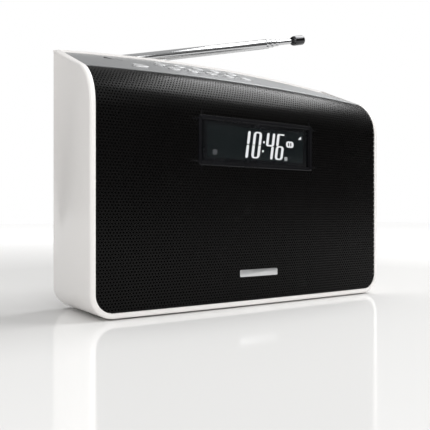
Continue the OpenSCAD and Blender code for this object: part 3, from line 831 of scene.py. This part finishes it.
gauge = plate(27.0 * MM, 34.4 * MM, 115.6 * MM, 120.2 * MM, 2.0 * MM)
gauge_marks = [block((x * MM, figure_y - MM, 116.7 * MM), ((x + 1.1) * MM, figure_y + MM, 119.1 * MM))
    for x in (28.9, 31.1)]
cut(gauge, gauge_marks)
wedge = plate(39.2 * MM, 42.0 * MM, 122.2 * MM, 124.8 * MM, 0)
edit(wedge, "VERT")
pick(wedge, verts=lambda p: p.z > 124 * MM and p.x < 40.5 * MM)
bpy.ops.transform.translate(value=(0, 0, -2.2 * MM))
done()
lit_marks = joined([digits, gauge, wedge])
lit = Finish("lit_figures")
glow = lit.noise(120, 2)
lit.set(Base_Color=(0.3, 0.31, 0.32), Roughness=0.5, Emission_Strength=0.95,
    Emission_Color=lit.blend(glow, (0.90, 0.91, 0.93), (1.0, 1.0, 1.0)))
piece(lit_marks, "lit_figures", "radio", [], lit)

dim_marks = plate(25.4 * MM, 28.2 * MM, 105.6 * MM, 108.4 * MM, 0.4 * MM)
dim = Finish("dim_mark")
dim.set(Base_Color=(0.4, 0.41, 0.42), Roughness=0.5, Emission_Strength=0.22,
    Emission_Color=dim.blend(dim.noise(120, 2), (0.85, 0.86, 0.88), (1.0, 1.0, 1.0)))
piece(dim_marks, "mode_mark", "radio", [], dim)

eye = rod((-37.0 * MM, figure_y, 108.4 * MM), (0, 1, 0), 2.0 * MM, figure_t, 32)
edit(eye, "FACE")
pick(eye, faces=lambda middle, normal: normal.y < -0.9)
bpy.ops.mesh.inset(thickness=0.8 * MM)
bpy.ops.transform.translate(value=(0, -0.3 * figure_t, 0))
done()
smooth(eye)
sensor = Finish("sensor_eye")
sensor.set(Base_Color=sensor.blend(sensor.noise(900, 2), (0.05, 0.052, 0.055), (0.10, 0.102, 0.106)),
    Roughness=0.25, Emission_Strength=0.05, Emission_Color=(0.8, 0.85, 0.9))
piece(eye, "sensor_eye", "radio", [], sensor)

# Badge: a plain blank bar of satin aluminium with rounded corners, stamped from sheet and bonded to
# the grille low in the middle.

badge_low, badge_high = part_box("badge_plate")
badge_corner = 0.8 * MM
badge = block(badge_low, badge_high)
edit(badge, "EDGE")
pick(badge, edges=lambda a, b: abs(a.y - b.y) > 0.1 * MM)
bpy.ops.mesh.bevel(offset=badge_corner, segments=4, affect="EDGES")
done()
soften(badge, 0.12 * MM)
smooth(badge)
satin = Finish("satin_aluminium")
brushed = satin.add("ShaderNodeMapping", {}, {"Vector": satin.place, "Scale": (60, 4000, 4000)})
strands = satin.add("ShaderNodeTexNoise", {}, {"Vector": brushed, "Scale": 1.0, "Detail": 3})
satin.set(Base_Color=satin.blend(strands, (0.62, 0.625, 0.63), (0.76, 0.765, 0.77)), Metallic=1.0,
    Roughness=strands * 0.15 + 0.26, Normal=satin.bump(strands, 0.08, 0.02 * MM))
piece(badge, "blank_badge", "radio", ["badge_plate"], satin)

# Antenna: a steel bush in the rear wall, a plated swivel with a fork, and a hinge pin through the
# foot of the mast. Four brass sections slide into each other, and a fat tip is screwed on the last.

mast_lift = math.radians(14)
mast_place = Matrix.Translation(pivot) @ Matrix.Rotation(-mast_lift, 4, "Y")
bush_flange = 0.5 * MM
bush_gap = 0.05 * MM
bush_r = 5.5 * MM
bush_bore = 2.6 * MM
fork_foot = 0.9 * MM
fork_half = 4.5 * MM
cheek = 4.4 * MM
fork_rise = 7.4 * MM
fork_round = 3.2 * MM
fork_slot = 1.7 * MM
stub_r = 2.5 * MM
pin_r = 1.0 * MM
tongue_r = 2.4 * MM
tongue_half = 1.6 * MM
crimps = (3.0, 3.8, 4.6)
pinch = 0.92
mouth = 0.93

chrome = Finish("chrome_plate")
wiped = chrome.noise(35, 3)
chrome.set(Base_Color=chrome.blend(wiped, (0.40, 0.405, 0.41), (0.50, 0.505, 0.51)), Metallic=1.0,
    Roughness=wiped * 0.10 + 0.06)


def on_mast(obj):
    """Moves a form made along +X from the pivot to where the mast lies at rest."""
    obj.data.transform(mast_place)
    return obj


def add_to(obj, other):
    """Melts another closed form into obj."""
    modify(obj, "BOOLEAN", operation="UNION", object=other, solver="EXACT")
    bpy.data.objects.remove(other)


def tube(start, end, radius, open_end):
    """A drawn tube with its mouth rolled in round the next section."""
    form = rod((start * MM, 0, 0), (1, 0, 0), radius * MM, (end - start) * MM, 40)
    edit(form, "FACE")
    pick(form, faces=lambda middle, normal: normal.x > 0.9)
    if open_end:
        bpy.ops.mesh.extrude_region_move(TRANSFORM_OT_translate={"value": (0.5 * MM, 0, 0)})
        bpy.ops.transform.resize(value=(1, mouth, mouth), center_override=(end * MM, 0, 0))
        bpy.ops.mesh.inset(thickness=0.25 * MM)
        bpy.ops.mesh.extrude_region_move(TRANSFORM_OT_translate={"value": (-1.5 * MM, 0, 0)})
    done()
    for crimp in crimps if open_end else ():
        edit(form, "EDGE")
        bpy.ops.mesh.select_all(action="SELECT")
        bpy.ops.mesh.bisect(plane_co=((end - crimp) * MM, 0, 0), plane_no=(1, 0, 0))
        done()
    if open_end:
        edit(form, "VERT")
        waist = (end - crimps[1]) * MM
        pick(form, verts=lambda p: abs(p.x - waist) < near)
        bpy.ops.transform.resize(value=(1, pinch, pinch), center_override=(waist, 0, 0))
        done()
    soften(form, 0.15 * MM, angle=30)
    smooth(form, 40)
    return on_mast(form)


bush = rod((pivot.x, rear + bush_gap, pivot.z), (0, 1, 0), bush_r, bush_flange)
cut(bush, [rod((pivot.x, rear - MM, pivot.z), (0, 1, 0), bush_bore, 4 * MM)])
soften(bush, 0.18 * MM, 3)
smooth(bush)
piece(bush, "antenna_bush_flange", "radio", [], chrome)

fork_low = rear + fork_foot - pivot.y
turret = block((-fork_half, fork_low, -cheek), (fork_half, fork_low + fork_rise, cheek))
edit(turret, "EDGE")
pick(turret, edges=lambda a, b: abs(a.z - b.z) > MM and min(a.y, b.y) > fork_low + MM)
bpy.ops.mesh.bevel(offset=fork_round, segments=8, affect="EDGES")
done()
cut(turret, [block((-6 * MM, fork_low + 1.2 * MM, -fork_slot), (6 * MM, fork_low + 9 * MM, fork_slot)),
    rod((0, 0, -6 * MM), (0, 0, 1), 1.02 * MM, 12 * MM, 32)])
soften(turret, 0.3 * MM)
on_mast(turret)
swivel_stub = rod((pivot.x, rear - drilled, pivot.z), (0, 1, 0), stub_r, drilled + fork_foot + 0.2 * MM)
turret = joined([turret, swivel_stub])
smooth(turret, 40)
piece(turret, "antenna_fork", "turret", ["antenna_turret"], chrome)

hinge_pin = rod((0, 0, -4.35 * MM), (0, 0, 1), pin_r, 8.7 * MM, 32)
soften(hinge_pin, 0.25 * MM, 3)
smooth(hinge_pin)
piece(on_mast(hinge_pin), "hinge_pin", "turret", ["antenna_hinge_pin"], chrome)

tongue = block((0, -tongue_r, -tongue_half), (9.4 * MM, tongue_r, tongue_half))
add_to(tongue, rod((0, 0, -tongue_half), (0, 0, 1), tongue_r, 2 * tongue_half))
cut(tongue, [rod((0, 0, -3 * MM), (0, 0, 1), 1.05 * MM, 6 * MM, 32)])
soften(tongue, 0.25 * MM)
smooth(tongue, 40)
foot_tube = joined([tube(9, 185.8, 4.0, True), on_mast(tongue)])
piece(foot_tube, "mast_foot_tube", "mast_1", ["antenna_tube_1"], chrome)
piece(tube(14, 191.8, 3.4, True), "mast_second_tube", "mast_2", ["antenna_tube_2"], chrome)
piece(tube(18, 197.8, 2.8, True), "mast_third_tube", "mast_3", ["antenna_tube_3"], chrome)
piece(tube(22, 215.2, 2.2, False), "mast_rod", "mast_4", ["antenna_rod"], chrome)

# The tip: the mast's chrome with its colour painted dark, a painted shade that stands in for the dark
# surroundings it reflects.
chrome_painted_shade = Finish("chrome_painted_shade")
tip_haze = chrome_painted_shade.noise(200, 3)
chrome_painted_shade.set(Base_Color=chrome_painted_shade.blend(tip_haze, (0.035, 0.035, 0.037), (0.06, 0.06, 0.062)),
    Metallic=1.0, Roughness=tip_haze * 0.08 + 0.10)
tip_start = 215.2 * MM
tip = rod((tip_start, 0, 0), (1, 0, 0), 4.25 * MM, 12.8 * MM, 48)
edit(tip, "FACE")
pick(tip, faces=lambda middle, normal: normal.x > 0.9)
bpy.ops.mesh.inset(thickness=1.0 * MM)
bpy.ops.transform.translate(value=(-0.25 * MM, 0, 0))
done()
edit(tip, "EDGE")
bpy.ops.mesh.select_all(action="SELECT")
bpy.ops.mesh.bisect(plane_co=(tip_start + 2 * MM, 0, 0), plane_no=(1, 0, 0))
done()
edit(tip, "VERT")
pick(tip, verts=lambda p: p.x < tip_start + MM)
bpy.ops.transform.resize(value=(1, 0.8, 0.8), center_override=(tip_start, 0, 0))
done()
soften(tip, 0.6 * MM, 4, angle=20)
smooth(tip, 40)
piece(on_mast(tip), "mast_tip", "mast_4", ["antenna_tip"], chrome_painted_shade)

# Battery door: a white ABS lid let into the rear wall. It turns on two pins at its foot, and has
# a finger notch over its latch and five shallow grooves to press on.

door_t = 2.3 * MM
finger_half = 9 * MM
finger_sunk = 1.0 * MM
groove_half = 15 * MM
groove_sunk = 0.35 * MM
groove_w = 0.9
door_pin_r = 0.8 * MM
door_pin_out = 1.6 * MM
door_axis = next(Vector(j["pos_m"]) for j in frame["joints"] if j["name"] == "battery_door_hinge")
door_half = hatch_x - hatch_gap
door_back = door_axis.y + door_t / 2
door_top = door_high.z
door = block((-door_half, door_back - door_t, door_axis.z), (door_half, door_back, door_top))
roll = rod((-door_half, door_axis.y, door_axis.z), (1, 0, 0), door_t / 2, 2 * door_half, 32)
add_to(door, roll)
cut(door, [block((-finger_half, door_back - finger_sunk, door_top - 6 * MM),
    (finger_half, door_back + MM, door_top - 3 * MM))])
grooves = [block((-groove_half, door_back - groove_sunk, door_top - z * MM),
    (groove_half, door_back + MM, door_top - (z - groove_w) * MM)) for z in (11, 13.4, 15.8, 18.2, 20.6)]
cut(door, grooves)
soften(door, 0.3 * MM)
hinge_pins = [rod((side * (door_half + door_pin_out), door_axis.y, door_axis.z), (-side, 0, 0), door_pin_r,
    1.8 * MM, 24) for side in (-1, 1)]
door = joined([door] + hinge_pins)
smooth(door, 40)
piece(door, "battery_lid", "battery_door", ["battery_door"], white)

# Case screws: six zinc-plated steel screws with pan heads and crossed slots. Each is sunk in a well
# in the rear wall and runs forward into a post of the baffle.

screw_top = rear - 0.1 * MM
head_t = 1.5 * MM
head_r = 2.9 * MM
slot_half = 1.8 * MM
slot_side = 0.35 * MM
slot_sunk = 0.9 * MM
steel = Finish("zinc_steel")
mottle = steel.noise(700, 3)
steel.set(Base_Color=steel.blend(mottle, (0.42, 0.43, 0.45), (0.58, 0.59, 0.60)), Metallic=1.0,
    Roughness=mottle * 0.2 + 0.28)
screw = rod((0, screw_top - head_t, 0), (0, 1, 0), head_r, head_t, 32)
soften(screw, 0.6 * MM, 4)
cut(screw, [block((-x, screw_top - slot_sunk, -z), (x, screw_top + MM, z))
    for x, z in ((slot_half, slot_side), (slot_side, slot_half))])
screw = joined([screw, rod((0, screw_top - 16 * MM, 0), (0, 1, 0), 1.5 * MM, 14.6 * MM, 16)])
smooth(screw)
screws = []
for i, (x, z) in enumerate(screw_places):
    copy = screw.copy()
    copy.data = screw.data.copy()
    bpy.context.scene.collection.objects.link(copy)
    copy.data.transform(Matrix.Translation((x, 0, z)) @ Matrix.Rotation(math.radians(17 + 53 * i), 4, "Y"))
    screws.append(copy)
bpy.data.objects.remove(screw)
piece(joined(screws), "case_screw_heads", "radio", ["case_screws"], steel)

# Feet: four round pads of soft black rubber, moulded with a shallow dish underneath and pressed into
# seats under the case.

feet_low, feet_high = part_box("rubber_feet")
foot_r = 6 * MM
foot_rim = 1.6 * MM
foot_dish = 0.3 * MM
pads = []
for x in (feet_low.x + foot_r, feet_high.x - foot_r):
    for y in (feet_low.y + foot_r, feet_high.y - foot_r):
        pad = rod((x, y, 0), (0, 0, 1), foot_r, feet_high.z, 40)
        edit(pad, "FACE")
        pick(pad, faces=lambda middle, normal: normal.z < -0.9)
        bpy.ops.mesh.inset(thickness=foot_rim)
        bpy.ops.transform.translate(value=(0, 0, foot_dish))
        done()
        soften(pad, 0.25 * MM, 3)
        smooth(pad)
        pads.append(pad)
rubber = Finish("soft_rubber")
dusty = rubber.noise(500, 3)
rubber.set(Base_Color=rubber.blend(dusty, (0.018, 0.018, 0.019), (0.035, 0.034, 0.033)),
    Roughness=dusty * 0.2 + 0.65, Normal=rubber.bump(dusty, 0.2, 0.05 * MM))
piece(joined(pads), "foot_pads", "radio", ["rubber_feet"], rubber)

# Works inside the case: boards, switches, speakers, cells, sockets and leads keep the shapes of
# the frame, and each gets the finish of what it is made of.


def speckled(name, light, dark, scale, metallic, rough, strength):
    """A finish whose colour and gloss vary a little over the surface."""
    finish = Finish(name)
    spots = finish.noise(scale, 4, 0.6)
    finish.set(Base_Color=finish.blend(spots, dark, light), Metallic=metallic,
        Roughness=spots * 0.16 + (rough - 0.08), Normal=finish.bump(spots, strength, 0.04 * MM))
    return finish


black_plastic = speckled("black_moulding", (0.035, 0.035, 0.037), (0.02, 0.02, 0.022), 1500, 0, 0.45, 0.1)
board = Finish("solder_mask")
cells_edge = board.add("ShaderNodeTexVoronoi", {"feature": "DISTANCE_TO_EDGE"},
    {"Vector": board.place, "Scale": 260})
tracks = board.add("ShaderNodeMath", {"operation": "LESS_THAN"}, [cells_edge, 0.05])
board.set(Base_Color=board.blend(tracks, (0.012, 0.10, 0.045), (0.03, 0.19, 0.09)), Roughness=0.32,
    Normal=board.bump(tracks, 0.15, 0.03 * MM))
plated = speckled("tinned_plate", (0.72, 0.72, 0.70), (0.6, 0.6, 0.585), 90, 1.0, 0.3, 0.03)
paper = Finish("cone_pulp")
fibre = paper.add("ShaderNodeTexNoise", {}, {"Vector": paper.place, "Scale": 1800, "Detail": 5})
paper.set(Base_Color=paper.blend(fibre, (0.03, 0.029, 0.028), (0.07, 0.068, 0.064)), Roughness=0.85,
    Normal=paper.bump(fibre, 0.4, 0.05 * MM))
lead_red = speckled("lead_sleeve", (0.5, 0.03, 0.025), (0.4, 0.02, 0.02), 300, 0, 0.4, 0.05)
jacket = speckled("cell_jacket", (0.05, 0.16, 0.28), (0.03, 0.12, 0.22), 60, 0.4, 0.3, 0.02)
blue_sleeve = speckled("capacitor_sleeve", (0.05, 0.1, 0.35), (0.03, 0.07, 0.28), 120, 0.1, 0.35, 0.03)
alloy = speckled("bare_aluminium", (0.72, 0.73, 0.74), (0.6, 0.61, 0.62), 300, 1.0, 0.4, 0.08)
diffuser = speckled("light_guide", (0.82, 0.84, 0.85), (0.74, 0.76, 0.77), 200, 0, 0.5, 0.02)
ribbon = speckled("flat_cable", (0.62, 0.62, 0.6), (0.5, 0.5, 0.48), 800, 0, 0.5, 0.05)
inside = {"black_plastic": black_plastic, "board_green": board, "flat_cable": ribbon,
    "switch_black": black_plastic, "basket_steel": steel, "magnet_steel": steel, "surround_rubber": rubber,
    "cone_paper": paper, "screw_steel": steel, "can_steel": plated, "heatsink_alu": alloy,
    "capacitor_blue": blue_sleeve, "chip_black": black_plastic, "socket_black": black_plastic,
    "cell_jacket": jacket, "contact_steel": plated, "wire_red": lead_red, "bush_steel": chrome,
    "light_guide": diffuser, "mast_chrome": chrome, "cabinet_white": white, "foot_rubber": rubber,
    "panel_silver": silver, "key_silver": bright, "grille_metal": punched, "bezel_black": piano,
    "lens": clear, "lcd": crystal, "badge": satin}
for part in frame["record"]["subparts"]:
    node = frame["nodes"][part["node"]]
    if part["material_slot"] in inside:
        node.data.materials.clear()
        node.data.materials.append(inside[part["material_slot"]].material)

# Floor, light and camera. A pale glossy table top, glowing more with distance from the case as painted
# light, under soft white light from above and the right, seen from in front and to the left at the
# height of the case's lower half.

table_size = 8
fade_start = 0.35
fade_end = 1.3
mirror_share = 0.3
mirror_rough = 0.09
bpy.ops.object.select_all(action="DESELECT")
bpy.ops.mesh.primitive_plane_add(size=table_size, location=(0, 0, 0))
table = placed()
table.name = "table_top"
polished = Finish("polished_top")
# Painted light: the table top glows, from none near the case up to 0.9 far off, so that its far part is as
# white as the backdrop.
reach = polished.add("ShaderNodeVectorMath", {"operation": "LENGTH"}, [polished.place], 1)
painted_glow_share = polished.add("ShaderNodeMapRange", {}, {"Value": reach, "From Min": fade_start, "From Max": fade_end})
polished.set(Base_Color=(0.9, 0.895, 0.885), Roughness=1.0, Specular_IOR_Level=0.0, Emission_Strength=1.0,
    Emission_Color=polished.blend(painted_glow_share, (0.0, 0.0, 0.0), (0.9, 0.9, 0.9)))
mirror = polished.add("ShaderNodeBsdfAnisotropic", {}, {"Color": (0.95, 0.95, 0.95, 1),
    "Roughness": mirror_rough})
both = polished.add("ShaderNodeMixShader", {},
    [mirror_share, Link(polished, polished.shader.outputs[0]), mirror])
polished.put(polished.tree.nodes["Material Output"].inputs["Surface"], both)
table.data.materials.append(polished.material)

world = bpy.data.worlds.new("studio")
world.use_nodes = True
sky = world.node_tree.nodes
links = world.node_tree.links
sky["Background"].inputs["Strength"].default_value = 1.0
height = sky.new("ShaderNodeSeparateXYZ")
links.new(sky.new("ShaderNodeTexCoord").outputs["Generated"], height.inputs[0])
dome = sky.new("ShaderNodeValToRGB")
dome.color_ramp.elements[0].position = 0.1
dome.color_ramp.elements[0].color = (0.06, 0.06, 0.06, 1)
dome.color_ramp.elements[1].position = 0.9
dome.color_ramp.elements[1].color = (0.70, 0.70, 0.70, 1)
links.new(height.outputs["Z"], dome.inputs[0])
paths = sky.new("ShaderNodeLightPath")
seen = sky.new("ShaderNodeMix")
seen.data_type = "RGBA"
seen.inputs[7].default_value = (1, 1, 1, 1)
links.new(paths.outputs["Is Camera Ray"], seen.inputs[0])
links.new(dome.outputs[0], seen.inputs[6])
links.new(seen.outputs[2], sky["Background"].inputs["Color"])
bpy.context.scene.world = world


def soft_light(name, place, aim, size, power):
    """A rectangular lamp at a place, turned to a point."""
    light = bpy.data.lights.new(name, "AREA")
    light.shape = "RECTANGLE"
    light.size, light.size_y = size
    light.energy = power
    lamp = bpy.data.objects.new(name, light)
    bpy.context.scene.collection.objects.link(lamp)
    lamp.location = place
    lamp.rotation_euler = (Vector(aim) - Vector(place)).to_track_quat("-Z", "Y").to_euler()
    return lamp


case_middle = (0, 0, 0.09)
soft_light("front_key", (-0.35, -1.4, 0.9), case_middle, (1.4, 0.9), 12)
soft_light("left_fill", (-1.5, 0.1, 0.7), case_middle, (1.2, 0.9), 3)
soft_light("overhead", (0.75, -0.1, 1.2), case_middle, (1.2, 0.6), 16)

camera = bpy.data.cameras.new("camera")
camera.lens = 49.88
camera.sensor_width = 36
camera.clip_start = 0.01
shot = bpy.data.objects.new("camera", camera)
bpy.context.scene.collection.objects.link(shot)
shot.location = (-0.2655, -0.3758, 0.0652)
turn = math.radians(34)
shot.rotation_euler = Vector((math.sin(turn), math.cos(turn), 0)).to_track_quat("-Z", "Y").to_euler()
bpy.context.scene.camera = shot
bpy.context.scene.view_settings.view_transform = "Standard"
